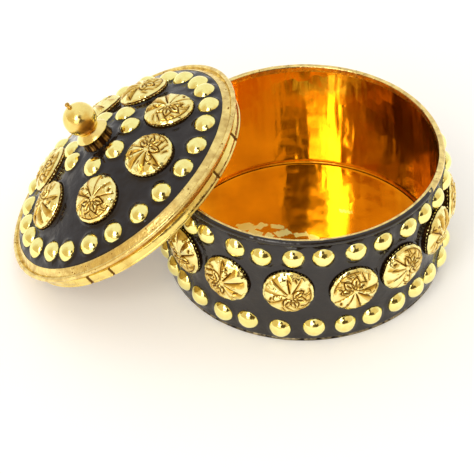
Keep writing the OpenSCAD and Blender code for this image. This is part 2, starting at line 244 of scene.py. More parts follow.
def finish_of(name, color, stain, stain_amount=0.3, stain_size=60, roughness=0.2, rubbing=0.1, pits=0.0,
              dents=0.3, dent_size=90, stretch=1.0, planish=0.0, planish_size=80, metallic=1.0, bump=0.001,
              ior=1.5):
    """A material of metal or lac that carries the hand finish with its own values."""
    material = bpy.data.materials.new(name)
    material.use_nodes = True
    tree = material.node_tree
    shader = tree.nodes["Principled BSDF"]
    hand = add_node(tree, "ShaderNodeGroup", node_tree=hand_finish)
    values = {"Color": (*color, 1), "Stain": (*stain, 1), "Stain Amount": stain_amount,
              "Stain Size": stain_size, "Roughness": roughness, "Rubbing": rubbing, "Pits": pits,
              "Dents": dents, "Dent Size": dent_size, "Stretch": stretch, "Planish": planish,
              "Planish Size": planish_size}
    for key, value in values.items():
        hand.inputs[key].default_value = value
    relief = tree.nodes.new("ShaderNodeBump")
    tree.links.new(hand.outputs["Height"], relief.inputs["Height"])
    relief.inputs["Distance"].default_value = bump
    relief.inputs["Strength"].default_value = 1.0
    tree.links.new(hand.outputs["Color"], shader.inputs["Base Color"])
    tree.links.new(hand.outputs["Roughness"], shader.inputs["Roughness"])
    tree.links.new(relief.outputs["Normal"], shader.inputs["Normal"])
    shader.inputs["Metallic"].default_value = metallic
    shader.inputs["IOR"].default_value = ior
    return material


def tint_dirt_shade_and_glints(material, color, shade_paint=None):
    """Colours what the piece's own marks pick out, from dark struck and cut lines to painted shade and the floor's
    painted glints:
    the shade color where the marks are faint and the full color where they are strong."""
    tree = material.node_tree
    shader, hand = tree.nodes["Principled BSDF"], tree.nodes["Group"]
    lines = add_node(tree, "ShaderNodeAttribute", attribute_name="dirt_shade_glints")
    faint = add_node(tree, "ShaderNodeMapRange", in_0=lines.outputs["Fac"], in_1=0.0, in_2=0.55).outputs[0]
    strong = add_node(tree, "ShaderNodeMapRange", in_0=lines.outputs["Fac"], in_1=0.5, in_2=1.0).outputs[0]
    faint_tint = add_node(tree, "ShaderNodeMix", data_type="RGBA", in_0=faint, in_6=hand.outputs["Color"],
                      in_7=(*(shade_paint or color), 1)).outputs[2]
    mixed = add_node(tree, "ShaderNodeMix", data_type="RGBA", in_0=strong, in_6=faint_tint, in_7=(*color, 1))
    dull = add_node(tree, "ShaderNodeMath", operation="MULTIPLY_ADD", in_0=lines.outputs["Fac"], in_1=0.3,
                    in_2=hand.outputs["Roughness"])
    tree.links.new(mixed.outputs[2], shader.inputs["Base Color"])
    tree.links.new(dull.outputs[0], shader.inputs["Roughness"])


def mark_dirt_shade_and_glints(piece, strength):
    """How strongly each point of a piece carries its marked color, from 0 to 1: dark lines, painted shade and
    painted glints.
    """
    marks = piece.data.attributes.new("dirt_shade_glints", "FLOAT", "POINT")
    marks.data.foreach_set("value", np.asarray(strength, np.float32))


def paint(piece, *materials):
    """Gives a piece its material, and a second one to the faces marked for it."""
    marked = [polygon.material_index for polygon in piece.data.polygons]
    piece.data.materials.clear()
    for material in materials:
        piece.data.materials.append(material)
    if len(materials) > 1:
        piece.data.polygons.foreach_set("material_index", marked)
    return piece


def fit(piece, body, slot, *nodes):
    """Hands a finished piece to the frame: the body it rides on and the solids it stands for, which are hidden;
    its slot is not used.
    """
    if nodes:
        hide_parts(*nodes)
    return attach(piece, body)


amber_floor = finish_of("amber_floor", (0.94, 0.52, 0.05), (0.40, 0.12, 0.01), stain_amount=0.40,
                        stain_size=42, roughness=0.05, rubbing=0.07, dents=0.5, dent_size=34, planish=0.07,
                        planish_size=75, bump=0.0016)
seam = 1.1
DISH = 0.35
box_floor = turned("box_floor", [
    (0, 0), (WALL_R, 0), (WALL_R, FLOOR_TOP - 0.9), (MOUTH_R - seam, FLOOR_TOP - 0.9),
    (MOUTH_R - seam, FLOOR_TOP - 0.2), (MOUTH_R - seam - 0.2, FLOOR_TOP)]
    + [(MOUTH_R * k / 80, FLOOR_TOP - DISH * (1 - (k / 80) ** 2)) for k in range(78, 0, -1)]
    + [(0, FLOOR_TOP - DISH)], 240, closed=False)
dent(box_floor, 26, 0.25, 3)
smooth(box_floor)
# Painted glints: bright pale patches painted on the floor for the reflections it shows, each a slanted four-sided
# flake: middle (x, y) in mm, half length, half width, turn
spots = points_of(box_floor)
painted_glints = np.zeros(len(spots))
for x, y, long, wide, turn in (
        (-33, 15, 3.6, 2.1, 28), (-27.5, 10, 3.4, 2.2, -12), (-25, 16.5, 2.4, 1.3, 60),
        (-16, 16.2, 3.0, 1.2, 12), (-12.5, 11.2, 3.4, 1.6, 40), (-19.5, 8.6, 2.0, 1.6, -30),
        (-2.5, 10.4, 3.2, 1.2, 25), (4.5, 8.2, 2.6, 1.3, -15), (21, 31, 3.0, 0.7, 5)):
    dx, dy = spots[:, 0] - x, spots[:, 1] - y
    along = np.abs(dx * cos(radians(turn)) + dy * sin(radians(turn)))
    side = np.abs(dy * cos(radians(turn)) - dx * sin(radians(turn)) + 0.25 * dx)
    inside = (along < long * 1.15) & (side < wide * 1.3) & (spots[:, 2] > FLOOR_TOP - 0.6)
    painted_glints = np.maximum(painted_glints, np.where(inside, 1, 0))
mark_dirt_shade_and_glints(box_floor, painted_glints)
# The painted glints are a pale yellow, a painted reflection
tint_dirt_shade_and_glints(amber_floor, (1.0, 0.97, 0.42))
paint(box_floor, amber_floor)
fit(box_floor, "box", "amber_brass", "box_base")

# ---------------------------------------------------------------------------
# Wall of the box: one strip of brass sheet rolled round and brazed, planished over a stake, so
# that it carries faint upright facets. The same amber lacquer as on the floor.
amber_wall = finish_of("amber_wall", (0.99, 0.58, 0.065), (0.42, 0.13, 0.01), stain_amount=0.35,
                       stain_size=34, roughness=0.06, rubbing=0.08, dents=0.8, dent_size=95,
                       stretch=0.2, planish=0.10, planish_size=110, bump=0.0009)
wall_rows = 20
BULGE = 0.5
box_wall = turned("box_wall_sheet", [
    (WALL_R, FLOOR_TOP), (MOUTH_R - 0.6, FLOOR_TOP), (MOUTH_R - 0.55, FLOOR_TOP + 0.3),
    (MOUTH_R - 0.2, FLOOR_TOP + 0.6), (MOUTH_R, FLOOR_TOP + 1.2)]
    + [(MOUTH_R + BULGE * (1 - (2 * k / wall_rows - 1) ** 2),
        FLOOR_TOP + (RIM_UNDER - FLOOR_TOP) * k / wall_rows)
       for k in range(1, wall_rows + 1)]
    + [(WALL_R, RIM_UNDER)], 256)
smooth(box_wall)
paint(box_wall, amber_wall)
fit(box_wall, "box", "amber_brass", "box_wall")

# ---------------------------------------------------------------------------
# Foot ring: a brass half-round soldered under the wall, which ends the lac below. It is coloured
#  nearly black all over, with pale brass in patches.
foot_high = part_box("box_foot")[1]
FOOT_R = foot_high.x / MM
FOOT_TOP = foot_high.z / MM
near_black_brass = finish_of("near_black_brass", (0.018, 0.013, 0.010), (0.75, 0.62, 0.36), stain_amount=0.6,
                       stain_size=420, roughness=0.24, rubbing=0.16, pits=1.0, dents=0.6,
                       dent_size=260, bump=0.0006)
foot_bead = FOOT_TOP / 2 - 0.05
box_foot = turned("foot_ring", [(WALL_R + 0.05, 0), (FOOT_R - foot_bead, 0)]
                  + arc(FOOT_R - foot_bead, FOOT_TOP / 2, foot_bead, -85, 85, 8)
                  + [(FOOT_R - foot_bead, FOOT_TOP), (WALL_R + 0.05, FOOT_TOP)], 256)
dent(box_foot, 7, 0.18, 5)
smooth(box_foot, 60)
paint(box_foot, near_black_brass)
fit(box_foot, "box", "brass", "box_foot")

# ---------------------------------------------------------------------------
# Rim: a flat lip round the mouth with a round bead outside it, cast in one ring and soldered on
# the wall. The top is rubbed pale, with specks of lac and old polish in its pores.
rim_brass = finish_of("rim_brass", (0.96, 0.75, 0.28), (0.26, 0.12, 0.03), stain_amount=0.55,
                      stain_size=260, roughness=0.15, rubbing=0.15, pits=1.0, dents=0.7,
                      dent_size=240, bump=0.0006)
rim_bead = (BOX_TOP - RIM_UNDER) / 2 - 0.05
rim_mid = (BOX_TOP + RIM_UNDER) / 2
box_rim = turned("rim_ring", [
    (MOUTH_R, RIM_UNDER), (RIM_R - rim_bead, RIM_UNDER)]
    + arc(RIM_R - rim_bead, rim_mid, rim_bead, -88, 82, 14)
    + [(RIM_R - rim_bead - 0.25, BOX_TOP - 0.28), (RIM_R - rim_bead - 0.5, BOX_TOP - 0.12),
       (MOUTH_R + 0.9, BOX_TOP - 0.02), (MOUTH_R + 0.35, BOX_TOP - 0.05), (MOUTH_R + 0.08, BOX_TOP - 0.3),
       (MOUTH_R, BOX_TOP - 0.8)], 320)
dent(box_rim, 9, 0.22, 7)
smooth(box_rim, 60)
paint(box_rim, rim_brass)
fit(box_rim, "box", "pale_brass", "box_rim")

# ---------------------------------------------------------------------------
# Band of black lac: shellac resin melted on and pressed round the wall, then filed true. It
# climbs a little on each stud and medallion, and on one side it runs over the rim's bead.
lac_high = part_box("box_lac")[1]
LAC_R = lac_high.x / MM
STUD_R = 6.0
MEDAL_R = 13.6
black_lac = finish_of("black_lac", (0.010, 0.007, 0.006), (0.030, 0.022, 0.017), stain_amount=0.4,
                      stain_size=190, roughness=0.06, rubbing=0.14, pits=0.0, dents=0.6,
                      dent_size=260, metallic=0.0, bump=0.0004)

# Turns (degrees) and heights (mm) of the hand-set ornament: even rows, and how far each of the
# worst strays from its even place
upper_row = [[6 + 12 * k, 59.0] for k in range(30)]
for k, turn, height in ((18, -0.3, -1.3), (19, -3.2, -0.3), (20, -0.9, -0.1), (21, -1.6, -1.7),
                        (22, -0.6, -0.3), (23, -0.7, -0.2), (24, 0.7, 0.1), (25, 0.7, 0.6),
                        (26, 1.7, 0.9), (27, 0.4, 1.0)):
    upper_row[k] = [upper_row[k][0] + turn, upper_row[k][1] + height]
lower_row = [[0.5 + 12 * k, 11.1] for k in range(30)]
for k, turn, height in ((17, 1.3, 2.2), (18, -1, 2.0), (19, -2.2, 1.0), (20, -1.8, -0.6), (21, -2.4, 0.1),
                        (22, -0.8, -1.4), (23, 0.9, 0), (24, 1.6, -0.3), (25, 1.4, 0.3), (26, 1.5, 1.4),
                        (27, 0.8, 2.2), (28, -1.3, 2.4)):
    lower_row[k] = [lower_row[k][0] + turn, lower_row[k][1] + height]
medal_row = [[3.5 + 24 * k, 37.5] for k in range(15)]
for k, turn, height in ((9, -1.8, 0), (10, -2.2, -1.3), (11, -0.2, -0.5), (12, 2.1, -2.2), (13, 0.3, 0),
                        (14, -0.1, 2.6)):
    medal_row[k] = [medal_row[k][0] + turn, medal_row[k][1] + height]


def climb(beyond, reach=0.9):
    """How high the lac stands, as a share, at a distance in mm beyond the edge of an ornament."""
    return np.where(beyond > 0, np.exp(-beyond / reach), np.exp(beyond / 0.5))


def nearest_edge(across, up, ornaments):
    """Distance from each point of a flat layout to the nearest ornament's edge."""
    best = np.full(len(across), 1e9)
    for x, y, r in ornaments:
        best = np.minimum(best, np.hypot(across - x, up - y) - r)
    return best


def wander(angle, *waves):
    """A slow uneven line round the box: the sum of waves of (count, height, start)."""
    return sum(h * np.sin(n * angle + s) for n, h, s in waves)


row_step = 0.76
rows = int((RIM_UNDER - FOOT_TOP - 0.6) / row_step)
over = rim_bead + 0.22
lac_outline = [(WALL_R + 0.1, FOOT_TOP + 0.02), (LAC_R - 0.5, FOOT_TOP + 0.02),
               (LAC_R - 0.15, FOOT_TOP + 0.2)]
lac_outline += [(LAC_R - 0.1, FOOT_TOP + 0.55 + k * row_step) for k in range(rows)]
lac_outline += arc(RIM_R - rim_bead, rim_mid, over, -62, 84, 13)
lac_outline += [(RIM_R - rim_bead - 0.08, BOX_TOP + 0.05), (RIM_R - rim_bead - 0.2, BOX_TOP - 0.35),
                (RIM_R - rim_bead - 0.3, BOX_TOP - 0.9), (WALL_R + 0.1, BOX_TOP - 0.9)]
lac_band = turned("lac_band", lac_outline, 600)
spots = points_of(lac_band)
angle = np.arctan2(spots[:, 1], spots[:, 0])
radius = np.hypot(spots[:, 0], spots[:, 1])
ornaments = [(LAC_R * radians(turn + lap), height, size)
             for row, size in ((upper_row, STUD_R), (lower_row, STUD_R), (medal_row, MEDAL_R))
             for turn, height in row for lap in (-360, 0)]
edge = nearest_edge(LAC_R * angle, spots[:, 2], ornaments)
on_face = (radius > LAC_R - 0.3) & (spots[:, 2] < RIM_UNDER)
rise = np.where(on_face, climb(edge), 0.0)
push(lac_band, rise, 0.95)
# Over the rim's bead only on the front and right; elsewhere it is drawn back under the brass
facing = np.degrees(angle) % 360
spots = points_of(lac_band)
on_rim = (spots[:, 2] > RIM_UNDER + 0.15)
front = np.clip((80 - np.abs((facing - 278 + 180) % 360 - 180)) / 30, 0, 1)
line = wander(angle, (9, 0.25, 0.4), (23, 0.22, 1.0), (41, 0.16, 2.0), (67, 0.1, 0.5))
partly = np.where(on_rim, np.clip((1 - front) + np.clip(line - 0.42, 0, 1) * 1.5, 0, 1), 0.0)
push(lac_band, partly, -0.75)
dent(lac_band, 6, 0.22, 11)
# Nothing of it stands proud of the rim's top, where the lid sits down
tallest = BOX_TOP + 0.02
proud = points_of(lac_band)[:, 2] - tallest
if proud.max() > 0:
    push(lac_band, proud / proud.max(), -float(proud.max()), "Z")
smooth(lac_band, 75)
paint(lac_band, black_lac)
fit(lac_band, "box", "black_lac", "box_lac")

# ---------------------------------------------------------------------------
# Studs: domed upholstery nail heads of thin polished brass, pushed into the warm lac by hand, so
# that no two stand quite alike. One is shaped here, and every row is made of copies.
stud_brass = finish_of("stud_brass", (0.96, 0.89, 0.35), (0.80, 0.55, 0.10), stain_amount=0.35,
                       stain_size=260, roughness=0.05, rubbing=0.06, pits=0.0, dents=0.35,
                       dent_size=300, bump=0.0007)
STUD_TALL, STUD_EDGE = 5.1, 1.6
cap_tall = STUD_TALL - STUD_EDGE
cap_ball = (STUD_R ** 2 + cap_tall ** 2) / (2 * cap_tall)
cap_edge = degrees(asin(STUD_R / cap_ball))
stud = turned("stud", [(STUD_R - 0.6, 0), (STUD_R - 0.25, 0.05), (STUD_R - 0.12, 0.9), (STUD_R - 0.03, 1.25)]
              + arc(0, STUD_TALL - cap_ball, cap_ball, 90 - cap_edge, 90, 13), 36, closed=False)
smooth(stud, 60)
stud_shape = stud.data
deselect()


def lucky(i, salt):
    """A fixed uneven value from -1 to 1 for the i-th copy."""
    return sin(i * 12.9898 + salt * 78.233) * 43758.5453 % 1 * 2 - 1


def on_wall(turn, height, out):
    """A place on the box's wall, with its own up pointing straight out."""
    return (Matrix.Rotation(radians(turn), 4, "Z") @ Matrix.Translation((out * MM, 0, height * MM))
            @ Matrix.Rotation(pi / 2, 4, "Y"))


def copy_at(name, shape, place):
    """One copy of a shape, at its own place."""
    mesh = shape.copy()
    mesh.transform(place)
    copy = bpy.data.objects.new(name, mesh)
    bpy.context.collection.objects.link(copy)
    return copy


def row_of(name, shape, places, body, slot, node, material):
    """One piece of many copies of a shape, each at its own place."""
    deselect()
    copies = []
    for place in places:
        copy = copy_at(name, shape, place)
        copy.select_set(True)
        copies.append(copy)
    bpy.context.view_layer.objects.active = copies[0]
    bpy.ops.object.join()
    row = bpy.context.object
    row.name = row.data.name = name
    paint(row, material)
    return fit(row, body, slot, node)


def unlike(i, lean=5.0, lift=0.15):
    """The small lean and lift of the i-th copy, as set by hand."""
    return (Matrix.Translation((0, 0, lift * lucky(i, 3) * MM))
            @ Matrix.Rotation(radians(lean * lucky(i, 1)), 4, "X")
            @ Matrix.Rotation(radians(lean * lucky(i, 2)), 4, "Y"))


stud_bed = LAC_R - 1
row_of("studs_upper_row", stud_shape,
       [on_wall(t, h, stud_bed) @ unlike(i) for i, (t, h) in enumerate(upper_row)],
       "box", "pale_brass", "box_studs_upper", stud_brass)
row_of("studs_lower_row", stud_shape,
       [on_wall(t, h, stud_bed) @ unlike(i + 40) for i, (t, h) in enumerate(lower_row)],
       "box", "pale_brass", "box_studs_lower", stud_brass)

# ---------------------------------------------------------------------------
# Medallions: pillow-shaped buttons of thin brass, struck in a die with a looped flower to one
#  side, folded leaves on the other, and a beaded ring round the neck, which is painted dark as the
#  shade under the face. One is shaped here, and each place on the box gets a copy turned its own way.
medal_brass = finish_of("medal_brass", (0.98, 0.91, 0.40), (0.82, 0.56, 0.11), stain_amount=0.5,
                        stain_size=180, roughness=0.06, rubbing=0.07, pits=0.0, dents=0.9,
                        dent_size=240, bump=0.0010)
# Dark struck lines, and a mid amber painted shade on the far sides of the folds
tint_dirt_shade_and_glints(medal_brass, (0.11, 0.045, 0.008), (0.66, 0.40, 0.06))
# The neck's dark brown is painted shade, under the overhanging face
neck_painted_shade = finish_of("neck_painted_shade", (0.10, 0.045, 0.014), (0.03, 0.014, 0.008), stain_amount=0.8,
                       stain_size=300, roughness=0.25, rubbing=0.2, dents=0.3, bump=0.0004)
MEDAL_EDGE, MEDAL_TALL, BEADS = 3.7, 7.3, 40
RINGS = 50
face_line = [(MEDAL_R * (1 - k / RINGS),
              MEDAL_EDGE + (MEDAL_TALL - MEDAL_EDGE) * (1 - (1 - k / RINGS) ** 2.2) ** 0.62)
             for k in range(RINGS + 1)]
medal = turned("medallion", [
    (MEDAL_R - 1.9, 0), (MEDAL_R - 1.1, 0.02), (MEDAL_R - 1.05, 1.75), (MEDAL_R - 0.6, 1.95),
    (MEDAL_R - 0.2, 2.2), (MEDAL_R - 0.08, 2.5), (MEDAL_R - 0.2, 2.8), (MEDAL_R - 0.75, 3.0),
    (MEDAL_R - 1.0, 3.15), (MEDAL_R - 0.75, 3.35), (MEDAL_R - 0.2, 3.5)] + face_line, 5 * BEADS, closed=False)
spots = points_of(medal)
x, y, z = spots.T
around, out = np.arctan2(y, x), np.hypot(x, y) / MEDAL_R
bead_ring = (z > 1.9) & (z < 2.9)
push(medal, np.where(bead_ring & (np.cos(BEADS * around) < 0.2), 1, 0), -0.7)
u, v = x / MEDAL_R, y / MEDAL_R


def line_between(start, end, count=2):
    """Points of a straight stroke."""
    return [(start[0] + (end[0] - start[0]) * k / (count - 1),
             start[1] + (end[1] - start[1]) * k / (count - 1))
            for k in range(count)]


def petal(middle, turn, length, width):
    """The outline of a looped petal, and the slit along its middle."""
    along, side = (cos(radians(turn)), sin(radians(turn))), (-sin(radians(turn)), cos(radians(turn)))
    loop = []
    for k in range(21):
        t = k / 10 if k <= 10 else 2 - k / 10
        wide = width * sin(pi * t ** 0.85) * (1 if k <= 10 else -1)
        loop.append((middle[0] + along[0] * length * (0.12 + 0.88 * t) + side[0] * wide,
                     middle[1] + along[1] * length * (0.12 + 0.88 * t) + side[1] * wide))
    slit = line_between([m + a * length * 0.38 for m, a in zip(middle, along)],
                        [m + a * length * 0.74 for m, a in zip(middle, along)])
    return loop, slit


def ring_line(middle, radius, start, end, last=None, count=18):
    """Part of a circle, or of a curl that draws in to a last radius."""
    last = radius if last is None else last
    line = []
    for k in range(count + 1):
        reach = radius + (last - radius) * k / count
        at = radians(start + (end - start) * k / count)
        line.append((middle[0] + reach * cos(at), middle[1] + reach * sin(at)))
    return line


def away_from(strokes):
    """Distance of each point of the face from the nearest drawn line, in radii."""
    best = np.full(len(u), 9.0)
    for stroke in strokes:
        for (x1, y1), (x2, y2) in zip(stroke, stroke[1:]):
            long2 = (x2 - x1) ** 2 + (y2 - y1) ** 2 + 1e-9
            t = np.clip(((u - x1) * (x2 - x1) + (v - y1) * (y2 - y1)) / long2, 0, 1)
            best = np.minimum(best, np.hypot(u - x1 - t * (x2 - x1), v - y1 - t * (y2 - y1)))
    return best


flower = (-0.16, -0.04)
fine, broad, inside_petals = [], [], np.zeros(len(u))
for turn, length, width in ((98, 0.58, 0.165), (150, 0.60, 0.17), (203, 0.58, 0.17), (255, 0.56, 0.155)):
    loop, slit = petal(flower, turn, length, width)
    fine.append(loop)
    broad.append(slit)
    along = (u - flower[0]) * cos(radians(turn)) + (v - flower[1]) * sin(radians(turn))
    side = -(u - flower[0]) * sin(radians(turn)) + (v - flower[1]) * cos(radians(turn))
    t = np.clip(along / length, 0, 1)
    half = width * np.sin(pi * t ** 0.85) + 1e-4
    swell = np.where((along > 0) & (along < length) & (np.abs(side) < half),
                     np.sqrt(np.clip(1 - (side / half) ** 2, 0, 1)), 0)
    inside_petals = np.maximum(inside_petals, swell)
# Folded leaves fan out on the other side, each pair with a sharp valley between
FAN = (-0.10, -0.04)
LEAVES, FIRST, WIDE = 4, -78, 37
RIDGE_AT = 0.60
for k in range(LEAVES + 1):
    turn = FIRST + WIDE * k
    reach = 0.98 - 0.22 * (k % 2)
    fine.append(line_between((FAN[0] + 0.16 * cos(radians(turn)), FAN[1] + 0.16 * sin(radians(turn))),
                             (FAN[0] + reach * cos(radians(turn)), FAN[1] + reach * sin(radians(turn)))))
fine.append(ring_line((0.27, 0.36), 0.20, 230, -80, 0.07))
fine.append(ring_line((-0.36, -0.62), 0.16, 20, 250))
fine.append(ring_line((0, 0), 0.88, 150, 235))
for k in range(6):
    turn = 112 + 21 * k
    fine.append(line_between((0.70 * cos(radians(turn)), 0.70 * sin(radians(turn))),
                             (0.87 * cos(radians(turn + 9)), 0.87 * sin(radians(turn + 9)))))
for turn, far in ((66, 0.80), (52, 0.66), (283, 0.74), (300, 0.62), (124, 0.62)):
    broad.append(line_between((far * cos(radians(turn)), far * sin(radians(turn))),
                              ((far + 0.07) * cos(radians(turn + 6)), (far + 0.07) * sin(radians(turn + 6)))))
from_fine, from_broad = away_from(fine), away_from(broad)
lines = np.maximum(np.exp(-(from_fine / 0.024) ** 2), np.exp(-(from_broad / 0.046) ** 2))
lips = np.exp(-((from_fine - 0.06) / 0.028) ** 2) * (from_broad > 0.05)
fan_turn = (np.degrees(np.arctan2(v - FAN[1], u - FAN[0])) - FIRST) % 360
from_fan = np.hypot(u - FAN[0], v - FAN[1])
part = fan_turn % WIDE / WIDE
in_fan = (fan_turn < LEAVES * WIDE) & (out < 0.95)
ridge = np.where(in_fan, 1 - np.abs(part - RIDGE_AT) / np.where(part < RIDGE_AT, RIDGE_AT, 1 - RIDGE_AT), 0)
ridge = ridge * np.clip((from_fan - 0.12) / 0.45, 0, 1) * np.clip((0.97 - out) / 0.2, 0, 1)
face = z > MEDAL_EDGE - 0.05
relief = np.clip(0.30 + 0.38 * inside_petals + 0.68 * ridge + 0.10 * lips - 0.30 * lines, 0, 1)
relief = np.where(out > 0.93, 0.30, relief)
push(medal, np.where(face, relief, 0), 1.8, "Z")
push(medal, np.where(face, 1, 0), -0.54, "Z")
lobe = np.abs(np.cos(around * 6 + 0.4))
push(medal, np.where((out > 0.9) & (z > MEDAL_EDGE - 0.4), 1 - lobe, 0), -0.4)
# The far side of every leaf, and the hollows round the petals, are painted brown as painted shade
far_side = in_fan & (part > RIDGE_AT)
shade_paint = np.where(far_side, 0.30 + 0.45 * (part - RIDGE_AT) / (1 - RIDGE_AT), 0)
shade_paint = shade_paint * np.clip((from_fan - 0.1) / 0.2, 0, 1)
shade_paint = np.maximum(shade_paint, 0.42 * np.exp(-((from_fine - 0.05) / 0.04) ** 2) * (inside_petals <= 0) * (~in_fan))
shade_paint = np.maximum(shade_paint, 0.55 * inside_petals * np.clip(0.35 - inside_petals, 0, 1) * 4)
shade_paint = shade_paint * np.clip((0.95 - out) / 0.06, 0, 1)
mark_dirt_shade_and_glints(medal, np.where(face & (out < 0.95), np.clip(np.maximum(lines * 1.15, shade_paint), 0, 1), 0.0))
smooth(medal, 45)
medal_shape = medal.data
for polygon in medal_shape.polygons:
    middle = polygon.center / MM
    reach, up = hypot(middle.x, middle.y), middle.z
    bead = 2.1 < up < 2.95 and reach > MEDAL_R - 0.45 and cos(BEADS * atan2(middle.y, middle.x)) > 0.2
    polygon.material_index = 0 if up > MEDAL_EDGE - 0.3 or bead else 1


def place_medallion(name, shape, place, body, node, neck):
    """One medallion at its place, its face in brass and its neck in a darker one that paints the shade under the
    face.
    """
    deselect()
    copy = copy_at(name, shape, place)
    paint(copy, medal_brass, neck)
    return fit(copy, body, "pale_brass", node)


medal_bed = LAC_R - 1.5
MEDAL_TURNS = [40, 177, 314, 91, 228, 5, 142, 279, 56, 200, 113, 230, 20, 300, 160]
for i, (turn, height) in enumerate(medal_row):
    spin = Matrix.Rotation(radians(MEDAL_TURNS[i]), 4, "Z")
    place_medallion(f"medallion_{i + 1:02d}", medal_shape,
                    on_wall(turn, height, medal_bed) @ unlike(i + 90, 2.0, 0.2) @ spin,
                    "box", f"box_medallion_{i + 1:02d}", neck_painted_shade)

# ---------------------------------------------------------------------------
# Lid: it leans on the box, so every piece of it is shaped level, with the middle of its bead at
# height 0, and then laid at the lean. The lean comes from the two hinges that carry it.
carry, level = (next(j for j in frame["joints"] if j["name"] == n) for n in ("lid_carry", "lid_level"))
follow = next(c for c in frame["record"]["behaviour"]["couplings"] if c["joint"] == "lid_level")
LEAN = radians(carry["range_deg"][1] * (1 + follow["ratio"]))
BALL_IN_LID = Vector((2.3643, 1.8472, 40.555)) * MM
turn_lid = Matrix.Rotation(-LEAN, 4, "Y")
lid_at = Vector(level["pos_m"]) - turn_lid @ BALL_IN_LID
lid_at.y = 0
LAID = Matrix.Translation(lid_at) @ turn_lid
LID_R, LID_LAC_R, LIP = 75.4, 69.2, 3.2
SLOPE = radians(21)
CROWN_ROUND = 84.0
CAP_R = CROWN_ROUND * sin(SLOPE)
CAP_LOW = LIP + (LID_LAC_R - CAP_R) * tan(SLOPE)
ROUND_Z = CAP_LOW - CROWN_ROUND * cos(SLOPE)


def crown_z(r):
    """Height of the lac's surface at a radius in the lid."""
    return ROUND_Z + sqrt(CROWN_ROUND ** 2 - r * r) if r < CAP_R else CAP_LOW - (r - CAP_R) * tan(SLOPE)


def crown_tilt(r):
    return asin(r / CROWN_ROUND) if r < CAP_R else SLOPE


def lay(piece):
    """Lays a piece shaped level at the lid's lean."""
    piece.data.transform(LAID)
    return piece


# The lid's sheet: raised from one disc of brass over a stake, seen bare from below
lid_brass = finish_of("lid_brass", (0.90, 0.66, 0.25), (0.30, 0.15, 0.04), stain_amount=0.6,
                      stain_size=50, roughness=0.26, rubbing=0.16, pits=0.4, dents=0.9, dent_size=85,
                      bump=0.001)
SHEET_OUT, SHEET_IN = 2.2, 3.0


def under_crown(depth, count, last=LID_LAC_R):
    """Outline of a surface a depth under the lac, from the middle out."""
    ball = CROWN_ROUND - depth
    rim_z = ROUND_Z + ball * cos(SLOPE)
    cap = [(ball * sin(SLOPE * k / count), ROUND_Z + ball * cos(SLOPE * k / count)) for k in range(count + 1)]
    reach = ball * sin(SLOPE)
    cone = [(reach + (last - reach) * k / count, rim_z - (last - reach) * k / count * tan(SLOPE))
            for k in range(1, count + 1)]
    return cap + cone


lid_sheet = turned("lid_sheet", under_crown(SHEET_OUT, 14)[::-1] + under_crown(SHEET_IN, 14), 192,
                   closed=False)
dent(lid_sheet, 14, 0.3, 13)
smooth(lay(lid_sheet), 60)
paint(lid_sheet, lid_brass)
fit(lid_sheet, "lid", "brass", "lid_dome")

# ---------------------------------------------------------------------------
# Edge of the lid: a cast brass ring with a sloped lip against the lac, a groove, and a round
# bead. Rubbed pale on top, with dark specks along the lac and in the groove.
BEAD_R = 1.35
GROOVE_AT = LID_R - 2 * BEAD_R
edge_brass = finish_of("edge_brass", (0.92, 0.72, 0.26), (0.34, 0.17, 0.03), stain_amount=0.6,
                       stain_size=230, roughness=0.15, rubbing=0.16, pits=1.0, dents=0.7, dent_size=240,
                       bump=0.0006)
lid_edge = turned("lid_edge_ring", [
    (LID_LAC_R + 0.02, -1.3), (LID_R - BEAD_R, -BEAD_R)]
    + arc(LID_R - BEAD_R, 0.02, BEAD_R, -86, 128, 14)
    + [(GROOVE_AT + 0.28, 0.25), (GROOVE_AT, 0.02), (GROOVE_AT - 0.22, 0.4), (GROOVE_AT - 0.5, 0.72),
       (GROOVE_AT - 1.4, 1.35), (LID_LAC_R + 1.1, 2.5), (LID_LAC_R + 0.5, 2.95),
       (LID_LAC_R + 0.02, LIP)], 320)
dent(lid_edge, 8, 0.22, 17)
smooth(lay(lid_edge), 60)
paint(lid_edge, edge_brass)
fit(lid_edge, "lid", "pale_brass", "lid_edge")

# ---------------------------------------------------------------------------
# Skirt: a band of sheet soldered under the edge, which drops into the mouth of the box. It is
# necked in at the top, rolled at the bottom, and marked with a few short file cuts.
skirt_brass = finish_of("skirt_brass", (0.92, 0.74, 0.23), (0.50, 0.28, 0.05), stain_amount=0.5,
                        stain_size=110, roughness=0.12, rubbing=0.14, pits=0.5, dents=0.7, dent_size=150,
                        bump=0.0008)
SKIRT_R = MOUTH_R - 0.45
ROLL_R, ROLL_Z = 0.8, -9.7
NECK = 1.3
# Turns of the file cuts round the skirt, in degrees
CUTS = (254, 266.3, 329.8, 351.5)
skirt = turned("skirt_band", [
    (SKIRT_R - NECK - 0.8, -1.36), (SKIRT_R - NECK, -1.36), (SKIRT_R - NECK, -4.3),
    (SKIRT_R - NECK + 0.25, -4.6),
    (SKIRT_R - 0.25, -4.9), (SKIRT_R - 0.06, -5.15), (SKIRT_R - 0.05, -6.8), (SKIRT_R - 0.1, -8.6),
    (SKIRT_R - 0.3, -9.0)]
    + arc(SKIRT_R - ROLL_R, ROLL_Z, ROLL_R, 50, -140, 10)
    + [(SKIRT_R - NECK - 0.8, -9.0), (SKIRT_R - NECK - 0.8, -5.0)], 720)
skirt_sides = np.array([tuple(p.center) for p in skirt.data.polygons]) / MM
in_neck = (skirt_sides[:, 2] > -4.7) & (skirt_sides[:, 2] < -1.3)
skirt.data.polygons.foreach_set("material_index", in_neck.astype(np.int32))
spots = points_of(skirt)
from_cut = np.min([np.abs((np.degrees(np.arctan2(spots[:, 1], spots[:, 0])) - cut + 180) % 360 - 180)
                   for cut in CUTS], axis=0)
